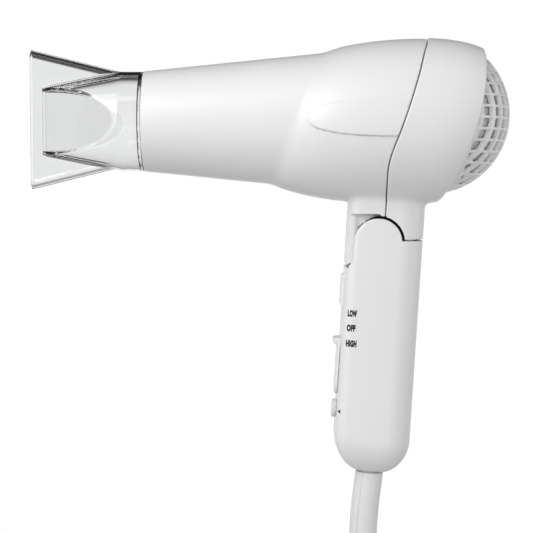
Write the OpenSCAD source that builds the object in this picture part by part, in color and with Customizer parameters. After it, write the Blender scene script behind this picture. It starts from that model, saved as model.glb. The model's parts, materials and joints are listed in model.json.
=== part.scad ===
// Travel hair dryer with a folding handle and a clear concentrator nozzle.
// The origin is the grip point on the handle's axis. +X points to the rear air intake,
// -X to the nozzle, +Z up. All sizes are in millimetres.

/* [Head] */
// Height of the fold pivot above the grip point
pivot_z = 65; // [64.8:0.1:65.2]
// Height of the barrel axis above the fold pivot
axis_rise = 56.2; // [56:0.1:56.5]
// Outer radius of the barrel at its mouth
mouth_r = 23.4; // [23.3:0.1:23.5]
// Distance from the pivot to the barrel's mouth
mouth_x = 109; // [108.8:0.1:109.2]
// Growth of the barrel's radius per millimetre of length
barrel_slope = 0.1; // [0.098:0.001:0.102]
// Wall thickness of the shells
wall = 2; // [1.9:0.1:2.1]
// Half the gap along the seam between the front and rear shells
seam = 0.22; // [0.15:0.01:0.3]
// Height of the raised side pads
pad_rise = 1; // [0.8:0.1:1.2]

/* [Handle] */
// Half the handle's width, front to rear
grip_hw = 17.85; // [17.8:0.05:17.9]
// Half the handle's thickness, side to side
grip_ht = 15.5; // [15.3:0.1:15.7]
// Radius of the handle's front corners
front_r = 5; // [4.5:0.1:5.5]
// Radius of the handle's rear corners
rear_r = 12; // [11.5:0.1:12.5]
// Lean of the handle towards the nozzle at its foot, in degrees
grip_tilt = 3.4; // [3.3:0.1:3.5]
// Length of the handle below the grip point
grip_low = 44.5; // [44:0.1:45]

/* [Hinge] */
// Radius of the round cheeks on the handle
cheek_r = 11.1; // [11:0.1:11.2]
// Radius of the tongue between the cheeks
tongue_r = 16; // [15.8:0.1:16]
// Radius of the fin at the front of the tongue
fin_r = 17.8; // [17.7:0.1:17.9]
// Half the tongue's thickness
tongue_hw = 11; // [10.8:0.1:11]
// Half the width of the fin in front of the tongue
fin_hw = 13.1; // [12.8:0.1:13.1]
// Radius of the hinge pin
pin_r = 3; // [2.9:0.05:3]

/* [Controls] */
// How far the slider's plate stands out of the handle
slide_rise = 1.4; // [1.2:0.1:1.6]
// Radius of the voltage selector
knob_r = 4.35; // [4.2:0.05:4.4]

/* [Cord] */
// Radius of the mains cord
cord_r = 3.25; // [3:0.05:3.3]
// Length of the strain relief below the handle
relief_len = 50; // [48:1:50]
// Length of the hank's straight runs
hank_run = 96; // [94:1:98]
// Inner radius of the hank's folds
hank_fold = 18; // [17.5:0.5:18]

/* [Hidden] */
$fn = 64;
axis_z = pivot_z + axis_rise;
cut = 200;
white = [0.93, 0.93, 0.92];
shade_white = [0.86, 0.86, 0.85];
mica = [0.85, 0.78, 0.62];
steel = [0.7, 0.7, 0.72];

// Each ring of the housing: centre x, centre rise, half height, half width, tilt
rings = [
    [-35.8, 0.3, 33.1, 31.2, 19.8],
    [-27, 0, 35.0, 34.2, 13.6],
    [-14, 0, 37.6, 36.8, 13],
    [1, -0.1, 39.0, 38.1, 13.3],
    [17, 0, 39.1, 38.4, 10.8],
    [27, -0.3, 38.7, 38.0, 10.6],
    [35.7, -0.7, 37.6, 36.6, 12.8],
    [40.7, -1.4, 36.2, 34.9, 16]
];
// The seam between front and rear shells, from the top down, relative to the pivot
seam_line = [
    [25.6, 102], [23, 93.5], [19.6, 86.2], [16.9, 76.9], [13.7, 67.1], [9.9, 55.9],
    [7.2, 47.9], [4, 39], [3.1, 34.8], [3.1, 27.7], [3.9, 19.7], [3.2, 12.3], [3.2, -40]
];

module at_pivot() {
    translate([0, 0, pivot_z]) children();
}

// Local z runs rearwards along the barrel's axis
module on_axis() {
    translate([0, 0, axis_z]) rotate([0, 90, 0]) children();
}

// Local z runs up the handle
module in_handle() {
    rotate([0, grip_tilt, 0]) children();
}

// A prism with its outline in the side view, relative to the pivot
module side_prism(points, half) {
    at_pivot() rotate([90, 0, 0]) linear_extrude(2 * half, center = true) polygon(points);
}

module ahead_of_seam(gap) {
    side_prism(concat([for (p = seam_line) [p[0] - gap, p[1]]], [[-cut, -40], [-cut, 102]]), cut / 2);
}

module behind_seam(gap) {
    side_prism(concat([for (p = seam_line) [p[0] + gap, p[1]]], [[cut, -40], [cut, 102]]), cut / 2);
}

module housing_ring(r, grow) {
    translate([r[0], 0, axis_z + r[1]])
        rotate([0, 90 + r[4], 0])
            scale([r[2] + grow, r[3] + grow, 1])
                cylinder(r = 1, h = 0.1, $fn = 64);
}

module housing(grow) {
    hull() for (r = rings) housing_ring(r, grow);
}

module housing_cavity() {
    housing(-wall);
    // The rear opening, a round hole square to the rim
    translate([42.05, 0, axis_z - 1.4])
        rotate([0, 105.8, 0]) translate([0, 0, -6]) cylinder(r = 33.2, h = 20);
}

module barrel_cone(inset, from, to) {
    on_axis() translate([0, 0, from])
        cylinder(
            r1 = mouth_r + (from + mouth_x) * barrel_slope - inset,
            r2 = mouth_r + (to + mouth_x) * barrel_slope - inset,
            h = to - from, $fn = 128
        );
}

// The handle's cross-section, drawn in its own frame
module grip_section(inset) {
    hw = grip_hw - inset;
    ht = grip_ht - inset;
    fr = front_r - inset;
    rr = rear_r - inset;
    translate([-hw, -ht + fr]) square([2 * hw - rr, 2 * (ht - fr)]);
    translate([-hw + fr, -ht]) square([2 * hw - fr - rr, 2 * ht]);
    translate([hw - rr - 0.01, -ht + rr]) square([rr + 0.01, 2 * (ht - rr)]);
    for (s = [-1, 1]) {
        translate([-hw + fr, s * (ht - fr)]) circle(r = fr);
        translate([hw - rr, s * (ht - rr)]) circle(r = rr);
    }
}

// The handle's side outline below the hinge, in its own frame, with a rounded foot
module grip_side(inset) {
    hw = grip_hw - inset;
    low = grip_low - inset;
    fr = 14 - inset;
    translate([-hw, -low + fr]) square([2 * hw, 150]);
    translate([-hw + fr, -low]) square([2 * (hw - fr), 20]);
    for (s = [-1, 1]) translate([s * (hw - fr), -low + fr]) circle(r = fr, $fn = 96);
}

module grip_solid(inset) {
    in_handle() intersection() {
        translate([0, 0, -60]) linear_extrude(170) grip_section(inset);
        rotate([90, 0, 0]) linear_extrude(60, center = true) grip_side(inset);
    }
}

// Where the handle may be, around and below the hinge
module grip_outline() {
    at_pivot() rotate([90, 0, 0]) cylinder(r = cheek_r, h = 60, center = true, $fn = 128);
    side_prism([
        [-10.2, 3], [-11.25, -1.5], [-11.9, -9.8], [-40, -27.4], [-40, -140], [60, -140], [60, 0.6], [0, 0.6]
    ], 30);
}

module pivot_disc(r, half) {
    at_pivot() rotate([90, 0, 0]) cylinder(r = r, h = 2 * half, center = true, $fn = 128);
}

// ---------------------------------------------------------------- head

// Neck, fin and tongue as one block before the shells are cut apart
module neck_block() {
    intersection() {
        in_handle() translate([0, 0, 20]) linear_extrude(90) grip_section(0);
        union() {
            // Full width above the cheeks
            side_prism([[-40, 13], [1, 13], [1, 1.1], [60, 1.1], [60, 30], [-40, 30]], 30);
            // Fin, flush with the handle's front
            intersection() {
                pivot_disc(fin_r, fin_hw);
                side_prism([[-40, -28.8], [-10.7, -8], [-10.7, 20], [-40, 20]], 30);
            }
            side_prism([[-40, 15], [-40, 5], [-10.7, 5], [-10.7, 15]], fin_hw);
            // Tongue
            pivot_disc(tongue_r - 3, tongue_hw);
            for (part = [[tongue_r, 60], [fin_r - 0.2, -8]]) intersection() {
                pivot_disc(part[0], tongue_hw);
                side_prism([[-40, -28.8], [0, 2], [0, -40], [60, -40], [60, 30], [-40, 30]], 30);
                side_prism([[-40, -40], [part[1], -40], [part[1], 40], [-40, 40]], 30);
            }
            side_prism([[-11, 14], [-11, 2], [15, 2], [15, 14]], tongue_hw);
        }
    }
}

module neck_hollow() {
    // Room around the cheeks
    difference() {
        pivot_disc(cheek_r + 0.8, 30);
        pivot_disc(cheek_r + 2, tongue_hw);
        side_prism([[-40, -30], [-10.7, -30], [-10.7, 30], [-40, 30]], fin_hw);
    }
    // Bore for the hinge pin
    pivot_disc(pin_r + 0.08, 30);
    // Wire channel through the neck, up to the housing
    in_handle() translate([2.5, 0, 76]) cylinder(r = 4.5, h = 30);
}

module neck_fillets() {
    // Webs that blend the neck into the housing
    side_prism([[-19, 19.5], [-13.3, 14], [-12, 30], [-20, 30]], 9);
    side_prism([[27.5, 19.5], [22.2, 14], [20, 30], [29, 30]], 6);
}

module front_shell() {
    color(white) intersection() {
        difference() {
            union() {
                barrel_cone(0, -mouth_x, -20);
                housing(0);
                intersection() {
                    housing(pad_rise);
                    side_pad_outline();
                }
                neck_block();
                neck_fillets();
                // Boss for the neck screw
                at_pivot() translate([0, 0, 9]) rotate([0, 90, 0]) cylinder(r = 3.4, h = 17.4);
            }
            housing_cavity();
            barrel_cone(wall, -mouth_x + 9.99, -20);
            on_axis() translate([0, 0, -mouth_x - 1]) cylinder(r = mouth_r - wall, h = 12, $fn = 128);
            neck_hollow();
            at_pivot() translate([-3, 0, 9]) rotate([0, 90, 0]) cylinder(r = 1.3, h = 30);
        }
        union() {
            ahead_of_seam(seam);
            pivot_disc(fin_r + 0.1, tongue_hw + 0.01);
            at_pivot() translate([0, 0, 9]) rotate([0, 90, 0]) cylinder(r = 3.4, h = 17.4);
        }
    }
}

module side_pad_outline() {
    at_pivot() rotate([90, 0, 0]) linear_extrude(120, center = true)
        polygon([
            [30, 67.5], [13.5, 66], [-10, 64.4], [-22, 63.3], [-27.5, 62], [-31, 59.8], [-33, 57],
            [-32.6, 54.6], [-30, 52.4], [-26, 50.8], [-20, 49.4], [-10, 48.6], [1.4, 48.2], [30, 48.2]
        ]);
}

module rear_shell() {
    color(white) intersection() {
        difference() {
            union() {
                housing(0.4);
                neck_block();
                neck_fillets();
            }
            housing_cavity();
            neck_hollow();
            // Room for the tongue and for the boss in front of it
            pivot_disc(fin_r + 0.4, tongue_hw + 0.1);
            at_pivot() translate([0, 0, 9]) rotate([0, 90, 0]) cylinder(r = 3.6, h = 17.6);
            // Screw hole with a recess for its head
            at_pivot() translate([0, 0, 9]) rotate([0, 90, 0]) cylinder(r = 1.5, h = 40);
            at_pivot() translate([19, 0, 9]) rotate([0, 90, 0]) cylinder(r = 2.9, h = 20);
        }
        behind_seam(seam);
    }
}

// Local z runs rearwards, square to the tilted rim
module at_rim() {
    translate([42.05, 0, axis_z - 1.4]) rotate([0, 105.8, 0]) children();
}

module grille_slots() {
    pitch = 5.13;
    slot = 3.75;
    for (i = [-5:5], j = [-6:5]) {
        drop = i * pitch;
        side = (j + 0.5) * pitch;
        if (norm([drop - 0.5, side]) < 28.6)
            translate([drop - slot / 2, side - slot / 2]) square([slot, slot]);
    }
}

module rear_grille() {
    centre = -15.75;
    color(white) difference() {
        at_rim() {
            // Dome
            rotate_extrude($fn = 128) intersection() {
                difference() {
                    translate([0, centre]) circle(r = 36.6, $fn = 256);
                    translate([0, centre]) circle(r = 34.9, $fn = 256);
                }
                square([32.9, 30]);
            }
            // Seating ring inside the rim
            translate([0, 0, -4]) difference() {
                cylinder(r = 32.9, h = 4.6, $fn = 128);
                translate([0, 0, -1]) cylinder(r = 30.9, h = 7, $fn = 128);
            }
        }
        translate([20, 0, axis_z - 1.5]) rotate([0, 90, 0]) linear_extrude(60) grille_slots();
    }
}

module nozzle_body(inset) {
    start = 119.4;
    panel_end = 155.9 + inset * 0.2;
    mouth_end = 162;
    half = 5 - inset;
    // Half thickness of the pressed-in panels at the collar side and at the mouth side
    panel_a = 22.6 - inset;
    panel_b = 5.5 - inset;
    intersection() {
        on_axis() translate([0, 0, -panel_end])
            cylinder(r1 = 16.2 - inset, r2 = 23.2 - inset, h = panel_end - start + 0.01, $fn = 128);
        translate([0, 0, axis_z]) linear_extrude(80, center = true)
            polygon([
                [-panel_end, -panel_b], [-123.2, -panel_a], [-110, -30], [-110, 30],
                [-123.2, panel_a], [-panel_end, panel_b]
            ]);
    }
    // Flat fan with rounded edges
    fan_tall = 32.4 - inset;
    fan_low = 21.4 - inset;
    fan_from = start - 2;
    lean = atan((fan_tall - fan_low) / (mouth_end - fan_from));
    translate([0, 0, axis_z]) intersection() {
        union() {
            rotate([90, 0, 0]) linear_extrude(2 * half, center = true)
                polygon([
                    [-mouth_end - 5, -fan_tall - 5 * tan(lean) + half], [-fan_from, -fan_low + half],
                    [-fan_from, fan_low - half], [-mouth_end - 5, fan_tall + 5 * tan(lean) - half]
                ]);
            for (s = [-1, 1])
                translate([-fan_from, 0, s * (fan_low - half)])
                    rotate([0, -90 + s * lean, 0])
                        translate([0, 0, -1]) cylinder(r = half, h = 60, $fn = 96);
        }
        translate([-mouth_end - (inset > 0 ? 1 : 0), -40, -60]) cube([mouth_end - fan_from + 1, 80, 120]);
    }
}

module nozzle() {
    color([0.85, 0.87, 0.88, 0.4]) difference() {
        union() {
            nozzle_body(0);
            // Collar, flush with the barrel's edge
            on_axis() translate([0, 0, -119.4]) cylinder(r = 23.2, h = 119.4 - mouth_x - 0.1, $fn = 128);
            // Spigot that pushes into the barrel's mouth
            on_axis() translate([0, 0, -112]) cylinder(r = mouth_r - wall - 0.06, h = 12, $fn = 128);
        }
        nozzle_body(1.5);
        on_axis() translate([0, 0, -119.5]) cylinder(r = 21.7, h = 7.6, $fn = 128);
        on_axis() translate([0, 0, -112]) cylinder(r = 19.7, h = 20, $fn = 128);
    }
}

module outlet_grille() {
    outer_r = 22.1;
    color(shade_white) on_axis() translate([0, 0, -98.5]) linear_extrude(3) {
        difference() {
            circle(r = outer_r, $fn = 96);
            circle(r = outer_r - 2, $fn = 96);
        }
        difference() {
            union() {
                for (a = [0:60:120]) rotate(a) square([2 * outer_r - 2, 1], center = true);
                circle(r = 15.5, $fn = 96);
            }
            difference() {
                circle(r = 14.5, $fn = 96);
                circle(r = 10.5, $fn = 96);
                for (a = [0:60:120]) rotate(a) square([40, 1], center = true);
            }
            difference() {
                circle(r = 9.5, $fn = 96);
                circle(r = 5, $fn = 96);
                for (a = [0:60:120]) rotate(a) square([40, 1], center = true);
            }
        }
    }
}

module heat_shield() {
    color(mica) on_axis() translate([0, 0, -94]) difference() {
        cylinder(r = 21, h = 50, $fn = 96);
        translate([0, 0, -1]) cylinder(r = 20.4, h = 52, $fn = 96);
    }
}

module mica_frame() {
    color(mica) on_axis() translate([0, 0, -93]) {
        translate([-18.8, -0.4, 0]) cube([37.6, 0.8, 48]);
        translate([-0.4, -18.8, 0]) cube([0.8, 37.6, 48]);
    }
}

module heater_coil() {
    wire = 0.4;
    turn_r = 19.4;
    color(steel) on_axis() {
        for (i = [0:8]) translate([0, 0, -90 + i * 5])
            rotate_extrude($fn = 64) translate([turn_r, 0]) circle(r = wire, $fn = 16);
        rotate([0, 0, 45]) translate([turn_r, 0, -90]) cylinder(r = wire, h = 46, $fn = 16);
    }
}

module thermostat() {
    color("silver") on_axis() {
        translate([-9, 0.5, -60]) cube([5, 3, 14]);
        translate([-6.5, 3.4, -53]) rotate([-90, 0, 0]) cylinder(r = 3.6, h = 3);
    }
}

module thermal_fuse() {
    color("tan") on_axis() translate([9, -2.6, -66]) {
        cylinder(r = 2, h = 11);
        translate([0, 0, -7]) cylinder(r = 0.5, h = 25);
    }
}

module fan_duct() {
    duct_r = 31.6;
    color(shade_white) on_axis() {
        // Duct ring around the fan
        translate([0, 0, -10]) difference() {
            cylinder(r = duct_r + 1, h = 32, $fn = 128);
            translate([0, 0, -1]) cylinder(r = duct_r, h = 34, $fn = 128);
        }
        // Hub that holds the motor
        translate([0, 0, -30]) difference() {
            cylinder(r = 17, h = 34, $fn = 96);
            translate([0, 0, -1]) cylinder(r = 15.7, h = 36, $fn = 96);
        }
        // Straightening vanes
        for (a = [0:6]) rotate([0, 0, a * 360 / 7 + 20])
            translate([16.4, -0.6, -10]) cube([duct_r - 16, 1.2, 13]);
    }
}

module motor_sleeve() {
    color([0.2, 0.2, 0.2]) on_axis() translate([0, 0, -28]) difference() {
        cylinder(r = 15.6, h = 30, $fn = 96);
        translate([0, 0, -1]) cylinder(r = 14.1, h = 32, $fn = 96);
    }
}

module motor_can() {
    color(steel) on_axis() difference() {
        union() {
            translate([0, 0, -32]) cylinder(r = 14, h = 35, $fn = 96);
            cylinder(r = 3.5, h = 4.5);
        }
        translate([0, 0, -8]) cylinder(r = 1.2, h = 20);
    }
}

module motor_end_cap() {
    color([0.15, 0.15, 0.15]) on_axis() {
        translate([0, 0, -35.5]) cylinder(r = 13.4, h = 3.4, $fn = 96);
        translate([0, 0, -38]) cylinder(r = 3.5, h = 3);
    }
}

module rectifier_board() {
    color([0.2, 0.4, 0.25]) on_axis() {
        translate([0, 0, -40.2]) difference() {
            cylinder(r = 13.4, h = 1.6);
            translate([0, 0, -1]) cylinder(r = 2, h = 4);
        }
        for (a = [0:3]) rotate([0, 0, a * 90 + 45])
            translate([8, -2.4, -42.6]) cube([3, 4.8, 2.5]);
    }
}

module fan_rotor() {
    hub_r = 13;
    tip_r = 31;
    color(shade_white) on_axis() difference() {
        union() {
            translate([0, 0, 6]) cylinder(r = hub_r, h = 11, $fn = 96);
            translate([0, 0, 17]) intersection() {
                translate([0, 0, -12]) sphere(r = 17.7);
                cylinder(r = hub_r, h = 10, $fn = 96);
            }
            intersection() {
                translate([0, 0, 5]) cylinder(r = tip_r, h = 14, $fn = 128);
                for (a = [0:8]) rotate([0, 0, a * 40])
                    translate([hub_r - 1, 0, 12]) rotate([38, 0, 0])
                        translate([0, -0.7, -9]) cube([tip_r, 1.4, 18]);
            }
        }
        cylinder(r = 1.15, h = 20);
    }
}

module motor_shaft() {
    color("silver") on_axis() translate([0, 0, -5]) cylinder(r = 1.15, h = 24.5);
}

module head_wiring() {
    color([0.75, 0.1, 0.1]) {
        for (x = [1.2, 3.9]) in_handle() translate([x, 0, 77]) cylinder(r = 1, h = 9);
        // Crimp block below the fan duct
        in_handle() translate([0.2, -1, 85.5]) cube([4.7, 2, 2]);
    }
}

module neck_screw() {
    color("silver") at_pivot() translate([0, 0, 9]) rotate([0, 90, 0]) {
        cylinder(r = 1.25, h = 19.5);
        translate([0, 0, 19.05]) cylinder(r = 2.6, h = 1.6);
    }
}

// ---------------------------------------------------------------- hinge

module hinge_axle() {
    color("silver") pivot_disc(pin_r, 14);
}

module hinge_washer(side) {
    color([0.2, 0.2, 0.2]) at_pivot() translate([0, side * 11.5, 0]) rotate([90, 0, 0]) difference() {
        cylinder(r = 8, h = 0.8, center = true);
        cylinder(r = pin_r + 0.05, h = 3, center = true);
    }
}

module hinge_washer_left() {
    hinge_washer(-1);
}

module hinge_washer_right() {
    hinge_washer(1);
}

module detent_block() {
    color(shade_white) at_pivot() translate([-4, -13.3, -27.5]) cube([12, 26.6, 5]);
}

module detent_spring() {
    color("silver") at_pivot() {
        translate([-3, -4, -22.45]) cube([10, 8, 0.6]);
        translate([-3, -4, -22.45]) cube([0.6, 8, 2.6]);
        translate([-3, -4, -20.2]) cube([7, 8, 0.5]);
    }
}

// ---------------------------------------------------------------- handle

module handle_hollow() {
    // Cavity, open at the top, with a slot at the front for the head's fin
    difference() {
        union() {
            grip_solid(wall);
            intersection() {
                pivot_disc(fin_r + 0.7, fin_hw + 0.3);
                side_prism([[-40, -40], [0, -40], [0, 40], [-40, 40]], 30);
            }
        }
        // Bosses for the hinge pin
        for (side = [-1, 1]) at_pivot() translate([0, side * 13.3, 0]) rotate([90, 0, 0])
            cylinder(r = 10.2, h = 2.6, center = true);
    }
    pivot_disc(pin_r + 0.02, 14.1);
}

module handle_cuts() {
    in_handle() {
        // Slot for the power slider
        translate([-20, -3.1, 8.8]) cube([8, 6.2, 20.4]);
        // Hole for the voltage selector's stem
        translate([-22, 0, -15.3]) rotate([0, 90, 0]) cylinder(r = 3, h = 10);
        // Hole for the strain relief
        translate([0, 0, -50]) cylinder(r = 5, h = 12);
    }
}

// Raised guard above the slider's travel, with sloped ends
module slider_guard() {
    in_handle() intersection() {
        translate([0, 0, 20]) linear_extrude(40) translate([-grip_hw - slide_rise, -6])
            square([4, 12]);
        rotate([90, 0, 0]) linear_extrude(20, center = true)
            polygon([
                [-16.5, 32], [-17.85, 33.1], [-17.85 - slide_rise, 34.6], [-17.85 - slide_rise, 47],
                [-17.85, 49], [-16.5, 49]
            ]);
    }
}

module at_handle_screws() {
    in_handle() for (z = [-32, 31]) translate([6.5, 0, z]) rotate([-90, 0, 0]) children();
}

module handle_shell_both() {
    difference() {
        union() {
            difference() {
                intersection() {
                    grip_solid(0);
                    grip_outline();
                }
                handle_hollow();
            }
            at_handle_screws() cylinder(r = 3, h = 27.2, center = true);
            slider_guard();
        }
        handle_cuts();
        at_handle_screws() translate([0, 0, -12]) cylinder(r = 1.3, h = 26);
    }
}

module handle_left_shell() {
    color(white) intersection() {
        handle_shell_both();
        translate([-cut / 2, -cut / 2, -cut / 2]) cube([cut, cut / 2 - 0.03, cut]);
    }
}

module handle_right_shell() {
    color(white) difference() {
        intersection() {
            handle_shell_both();
            translate([-cut / 2, 0.03, -cut / 2]) cube([cut, cut / 2, cut]);
        }
        // Recesses for the screw heads
        at_handle_screws() translate([0, 0, 13.2]) cylinder(r = 2.9, h = 10);
    }
}

module handle_screws() {
    color("silver") at_handle_screws() {
        translate([0, 0, -11]) cylinder(r = 1.25, h = 25);
        translate([0, 0, 13.25]) cylinder(r = 2.6, h = 1.4);
    }
}

module slide_button() {
    face = -grip_hw - 0.15;
    color(white) in_handle() {
        // Plate with a round bevelled foot
        intersection() {
            translate([face - slide_rise, 0, 0]) rotate([0, 90, 0]) linear_extrude(slide_rise) {
                translate([-18.5, -6]) square([21, 12]);
                translate([2.5, 0]) circle(r = 6);
            }
            rotate([90, 0, 0]) linear_extrude(20, center = true)
                polygon([
                    [face, -8.6], [face - slide_rise, -6.4], [face - slide_rise, 18.5], [face, 18.5]
                ]);
        }
        // Thumb ridge
        rotate([90, 0, 0]) linear_extrude(12, center = true)
            polygon([
                [face - slide_rise + 0.1, 14.6], [face - 3.2, 15.8], [face - 3.4, 17.6],
                [face - 2.6, 18.5], [face - slide_rise + 0.1, 18.5]
            ]);
        // Stem through the slot
        translate([face - 0.1, -2.9, 9]) cube([2.4, 5.8, 6]);
    }
}

module slide_carrier() {
    color(shade_white) in_handle() {
        translate([-15.7, -6, 6]) cube([1.2, 12, 25]);
        translate([-14.6, -1.6, 10]) cube([5, 3.2, 4]);
    }
}

module power_switch() {
    color([0.15, 0.15, 0.16]) in_handle() difference() {
        translate([-12, -5.5, 3]) cube([13, 11, 32]);
        translate([-13, -2, 9.6]) cube([5, 4, 18.6]);
    }
}

module voltage_knob() {
    face = -grip_hw - 0.1;
    color(shade_white) in_handle() difference() {
        union() {
            translate([face - 1.9, 0, -15.3]) rotate([0, 90, 0]) cylinder(r = knob_r, h = 1.9);
            translate([face - 0.1, 0, -15.3]) rotate([0, 90, 0]) cylinder(r = 2.9, h = 5);
        }
        // Coin slot
        translate([face - 3, -0.6, -15.3 - 3.4]) cube([2.1, 1.2, 6.8]);
    }
}

module selector_switch() {
    color([0.15, 0.15, 0.16]) in_handle() translate([-12.8, -6, -22]) cube([9, 12, 14]);
}

module handle_wiring() {
    color([0.1, 0.1, 0.1]) in_handle() {
        for (s = [-1, 1]) translate([12, s * 3, -31]) cylinder(r = 1.2, h = 65);
        translate([11, -4, -32.5]) cube([2, 8, 1.7]);
    }
}

module cord_clamp() {
    color(shade_white) in_handle() translate([-5.5, -9, -39.4]) difference() {
        cube([11, 18, 3.8]);
        translate([5.5, 9, -1]) cylinder(r = 3.4, h = 6);
    }
}

module strain_relief() {
    top = -grip_low - 0.1;
    color(white) in_handle() {
        // Flange and neck that hold it in the handle
        translate([0, 0, -41.9]) cylinder(r = 7.5, h = 2.2);
        translate([0, 0, top - 0.1]) cylinder(r = 4.8, h = 3);
        // Round tapered sleeve, then a slimmer tail
        translate([0, 0, top - 30]) cylinder(r1 = 6.35, r2 = 6.65, h = 30);
        translate([0, 0, top - relief_len]) cylinder(r1 = 4.4, r2 = 6.35, h = relief_len - 30);
    }
}

// ---------------------------------------------------------------- cord and plug

// The straight stretch of the cord, from the strain relief to the hank
lead_route = [[-5.62, 0, -94.75], [-6, 0, -101], [-6, 0, -108]];
hank_x = -6;
hank_top = -108.05;

function ring_points(c, r, n) = [for (a = [0:360 / n:359]) c + [r * cos(a), r * sin(a), 0]];

module cord_lead() {
    sides = 12;
    last = len(lead_route) - 1;
    points = [for (p = lead_route) each ring_points(p, cord_r, sides)];
    walls = [
        for (i = [0:last - 1], k = [0:sides - 1])
            let (next = (k + 1) % sides, low = i * sides, high = low + sides)
                [low + k, low + next, high + next, high + k]
    ];
    first_cap = [for (k = [0:sides - 1]) sides - 1 - k];
    last_cap = [for (k = [0:sides - 1]) last * sides + k];
    color(white) polyhedron(points, concat(walls, [first_cap], [last_cap]));
}

module hank_outline(r) {
    square([2 * r, hank_run], center = true);
    for (s = [-1, 1]) translate([0, s * hank_run / 2]) circle(r = r, $fn = 96);
}

module at_hank() {
    translate([hank_x, 0, hank_top - 6 - hank_fold - 13 - hank_run / 2]) children();
}

module cord_hank() {
    outer = hank_fold + 13;
    color(white) at_hank() {
        rotate([90, 0, 0]) linear_extrude(13, center = true) difference() {
            hank_outline(outer);
            hank_outline(hank_fold);
        }
        // Where the cord enters and leaves the folds
        for (s = [-1, 1]) translate([0, 0, s * (hank_run / 2 + outer + 2.5)])
            cylinder(r = cord_r, h = 7, center = true);
    }
}

module cord_tie() {
    half_w = hank_fold + 13;
    color([0.15, 0.15, 0.15]) at_hank() difference() {
        cube([2 * half_w + 3.2, 16.2, 9], center = true);
        cube([2 * half_w + 0.4, 13.4, 20], center = true);
    }
}

plug_top = hank_top - 12 - 2 * (hank_fold + 13) - hank_run;

module at_plug() {
    translate([hank_x, 0, plug_top]) children();
}

module plug_body() {
    color(white) at_plug() difference() {
        union() {
            // Front half of the shell
            translate([-20, -14, -60]) cube([40, 15, 40]);
            // Strain relief of the plug
            translate([0, 0, -20.1]) cylinder(r1 = 6, r2 = 4.4, h = 20);
        }
        // Wells for the two buttons
        translate([-9, -15, -33]) rotate([-90, 0, 0]) cylinder(r = 4.2, h = 8);
        translate([9, -15, -33]) rotate([-90, 0, 0]) cylinder(r = 4.2, h = 8);
        plug_inside();
    }
}

module plug_inside() {
    translate([-17.5, -5, -57.5]) cube([35, 17, 35]);
}

module plug_cover() {
    color(white) at_plug() difference() {
        translate([-20, 1.1, -60]) cube([40, 13, 40]);
        plug_inside();
        translate([0, 0, -20.1]) cylinder(r1 = 6.2, r2 = 4.6, h = 20);
        // Slots for the blades
        translate([-6.35 - 1.1, 4, -62]) cube([2.2, 8, 10]);
        translate([6.35 - 1.1, 3.2, -62]) cube([2.2, 9, 10]);
    }
}

module plug_blades() {
    color("silver") at_plug() {
        translate([-6.35 - 0.75, 4.8, -77]) cube([1.5, 6.35, 24]);
        translate([6.35 - 0.75, 4, -77]) cube([1.5, 7.9, 24]);
        translate([-10, 4.5, -53.5]) cube([20, 7, 3]);
    }
}

module plug_button(x, col) {
    color(col) at_plug() translate([x, -15.2, -33]) rotate([-90, 0, 0]) {
        cylinder(r = 3.9, h = 5.2);
        translate([0, 0, 5]) cylinder(r = 1.5, h = 1.8);
    }
}

module test_button() {
    plug_button(-9, [0.15, 0.15, 0.15]);
}

module reset_button() {
    plug_button(9, [0.7, 0.1, 0.1]);
}

front_shell();
rear_shell();
rear_grille();
nozzle();
outlet_grille();
heat_shield();
mica_frame();
heater_coil();
thermostat();
thermal_fuse();
fan_duct();
motor_sleeve();
motor_can();
motor_end_cap();
rectifier_board();
fan_rotor();
motor_shaft();
head_wiring();
neck_screw();
hinge_axle();
hinge_washer_left();
hinge_washer_right();
detent_block();
detent_spring();
handle_left_shell();
handle_right_shell();
handle_screws();
slide_button();
slide_carrier();
power_switch();
voltage_knob();
selector_switch();
handle_wiring();
cord_clamp();
strain_relief();
cord_lead();
cord_hank();
cord_tie();
plug_body();
plug_cover();
plug_blades();
test_button();
reset_button();
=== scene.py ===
import json
import math

import bpy
import numpy as np
import openvdb
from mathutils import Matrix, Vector

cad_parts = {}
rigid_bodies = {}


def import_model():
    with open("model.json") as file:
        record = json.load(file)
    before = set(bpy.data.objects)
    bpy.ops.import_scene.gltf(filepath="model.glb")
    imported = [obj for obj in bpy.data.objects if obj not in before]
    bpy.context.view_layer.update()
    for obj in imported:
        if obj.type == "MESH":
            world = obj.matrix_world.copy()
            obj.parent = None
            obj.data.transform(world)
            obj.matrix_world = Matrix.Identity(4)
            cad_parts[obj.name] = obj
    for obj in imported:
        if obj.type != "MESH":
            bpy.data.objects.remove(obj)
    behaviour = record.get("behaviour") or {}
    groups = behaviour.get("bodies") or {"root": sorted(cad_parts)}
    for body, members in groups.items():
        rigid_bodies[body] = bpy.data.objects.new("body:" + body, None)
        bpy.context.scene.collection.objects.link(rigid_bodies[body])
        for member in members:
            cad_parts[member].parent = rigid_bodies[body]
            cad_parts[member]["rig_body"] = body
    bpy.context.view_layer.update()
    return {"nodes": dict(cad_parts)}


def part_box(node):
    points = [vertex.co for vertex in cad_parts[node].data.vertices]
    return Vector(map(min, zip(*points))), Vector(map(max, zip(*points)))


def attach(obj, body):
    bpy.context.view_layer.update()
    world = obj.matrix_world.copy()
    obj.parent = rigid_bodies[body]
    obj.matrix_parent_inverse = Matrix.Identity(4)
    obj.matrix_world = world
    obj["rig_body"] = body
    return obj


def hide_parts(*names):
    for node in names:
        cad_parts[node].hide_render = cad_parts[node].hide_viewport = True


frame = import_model()

# ---------------------------------------------------------------- dimensions, in millimetres

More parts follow.
